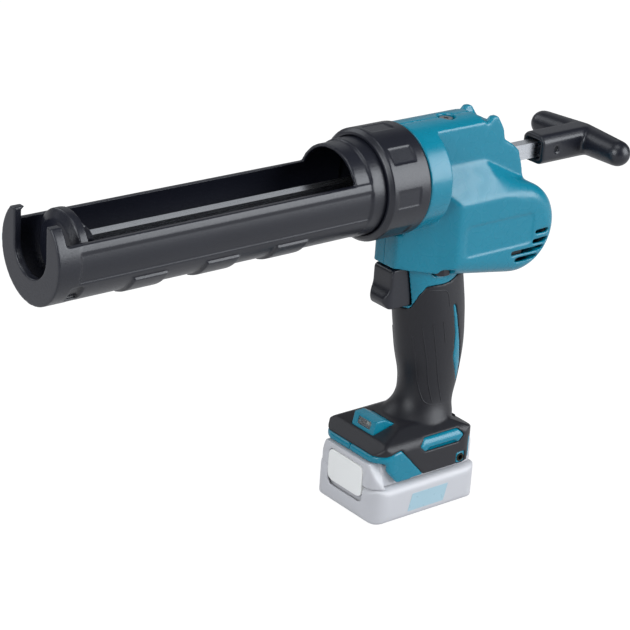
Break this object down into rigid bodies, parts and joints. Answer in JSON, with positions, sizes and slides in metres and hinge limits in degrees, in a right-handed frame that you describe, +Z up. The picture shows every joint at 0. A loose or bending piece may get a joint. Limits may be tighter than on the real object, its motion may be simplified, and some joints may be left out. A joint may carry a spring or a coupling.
{
  "type": "cordless caulking gun",
  "caption": "Battery powered caulking gun: open half-tube cartridge holder with a lock ring, toothed push rod with a pull handle, geared motor body and pistol grip.",
  "frame": {"origin": "centre of the battery's bottom face, which the tool stands on", "axes": "+X from the cartridge holder towards the pull handle, +Y to the tool's right, +Z up"},
  "size_m": [0.4155, 0.083, 0.2499],
  "materials": {
    "glass_filled_black": "moulded, fine texture",
    "teal_shell": "moulded, semi-gloss",
    "grip_elastomer": "overmoulded, matt",
    "plated_steel": "drawn and zinc plated",
    "gear_steel": "hobbed and hardened",
    "dark_screw_steel": "blackened",
    "spring_steel": "drawn wire",
    "bush_bronze": "sintered",
    "insert_brass": "turned",
    "contact_copper": "stamped",
    "magnet_ferrite": "sintered",
    "motor_steel": "deep drawn",
    "guide_nylon": "moulded",
    "switch_black": "moulded",
    "board_green": "laminated, soldered",
    "lens_clear": "moulded clear",
    "battery_grey": "moulded, matt",
    "button_white": "moulded",
    "cell_sleeve": "shrink sleeve",
    "lead_red": "extruded insulation"
  },
  "bodies": {
    "holder": {"cartridge_holder": "glass_filled_black"},
    "ring": {"lock_ring": "glass_filled_black"},
    "rod": {"push_rod": "plated_steel", "piston": "glass_filled_black", "piston_screw": "dark_screw_steel", "pull_handle": "glass_filled_black", "handle_pin": "dark_screw_steel"},
    "pinion": {"rack_pinion": "gear_steel", "clutch_disc": "gear_steel", "clutch_spring": "spring_steel", "clutch_nut": "gear_steel"},
    "output": {"output_gear": "gear_steel"},
    "second": {"second_gear": "gear_steel"},
    "first": {"first_gear": "gear_steel"},
    "rotor": {"rotor_core": "motor_steel", "commutator": "contact_copper", "motor_shaft": "gear_steel", "motor_pinion": "gear_steel", "motor_fan": "switch_black"},
    "trigger_body": {"trigger": "glass_filled_black", "switch_plunger": "switch_black"},
    "lock_off": {"lock_off_button": "glass_filled_black"},
    "battery": {"battery_case": "battery_grey", "battery_cover": "battery_grey", "battery_cells": "cell_sleeve", "battery_contacts": "contact_copper", "button_spring": "spring_steel"},
    "release": {"battery_button": "button_white"},
    "housing": {"nose_flange": "glass_filled_black", "front_rod_guide": "guide_nylon", "rear_rod_guide": "guide_nylon", "gear_plate_left": "motor_steel", "gear_plate_right": "motor_steel", "gear_cover": "motor_steel", "gear_pillars": "motor_steel", "shaft_bushes": "bush_bronze", "motor_can": "motor_steel", "motor_magnets": "magnet_ferrite", "motor_end_cap": "switch_black", "left_housing": "teal_shell", "right_housing": "teal_shell", "left_grip": "grip_elastomer", "right_grip": "grip_elastomer", "housing_screws": "dark_screw_steel", "hood_screw": "dark_screw_steel", "hook_inserts": "insert_brass", "lamp_bezel": "teal_shell", "lamp_lens": "lens_clear", "lamp_board": "board_green", "switch_case": "switch_black", "trigger_spring": "spring_steel", "speed_board": "board_green", "terminal_block": "switch_black", "terminal_blades": "contact_copper", "power_leads": "lead_red"}
  },
  "joints": [
    {"name": "rod_slide", "type": "slide", "parent": "housing", "child": "rod", "axis": [1, 0, 0], "range_m": [0, 0.21]},
    {"name": "pinion_spin", "type": "hinge", "parent": "housing", "child": "pinion", "pos_m": [0.024, 0, 0.2045], "axis": [0, 1, 0], "range_deg": [-1, 1605.28]},
    {"name": "rotor_spin", "type": "hinge", "parent": "housing", "child": "rotor", "pos_m": [0.062, 0, 0.176], "axis": [0, 1, 0], "continuous": true},
    {"name": "first_spin", "type": "hinge", "parent": "housing", "child": "first", "pos_m": [0.04315, 0, 0.17468], "axis": [0, 1, 0], "continuous": true},
    {"name": "second_spin", "type": "hinge", "parent": "housing", "child": "second", "pos_m": [0.0453, 0, 0.19457], "axis": [0, 1, 0], "continuous": true},
    {"name": "output_spin", "type": "hinge", "parent": "housing", "child": "output", "pos_m": [0.024, 0, 0.2045], "axis": [0, 1, 0], "continuous": true},
    {"name": "holder_swivel", "type": "hinge", "parent": "housing", "child": "holder", "pos_m": [-0.046, 0, 0.216], "axis": [1, 0, 0], "continuous": true},
    {"name": "ring_turn", "type": "hinge", "parent": "housing", "child": "ring", "pos_m": [-0.036, 0, 0.216], "axis": [1, 0, 0], "range_deg": [0, 90]},
    {"name": "trigger_pull", "type": "slide", "parent": "housing", "child": "trigger_body", "axis": [1, 0, 0], "range_m": [0, 0.006], "stiffness_N_per_m": 900, "springref_m": -0.002, "deforming": ["trigger_spring"]},
    {"name": "lock_off_slide", "type": "slide", "parent": "housing", "child": "lock_off", "axis": [0, 1, 0], "range_m": [-0.002, 0.002]},
    {"name": "battery_slide", "type": "slide", "parent": "housing", "child": "battery", "axis": [-1, 0, 0], "range_m": [0, 0.08]},
    {"name": "release_press", "type": "slide", "parent": "battery", "child": "release", "axis": [0, 0, -1], "range_m": [0, 0.003], "stiffness_N_per_m": 1500, "springref_m": -0.002, "deforming": ["button_spring"]}
  ],
  "couplings": [
    {"joint": "pinion_spin", "follows": "rod_slide", "rad_per_m": 133.33},
    {"joint": "first_spin", "follows": "rotor_spin", "ratio": -0.22727},
    {"joint": "second_spin", "follows": "rotor_spin", "ratio": 0.056818},
    {"joint": "output_spin", "follows": "rotor_spin", "ratio": -0.017361}
  ]
}
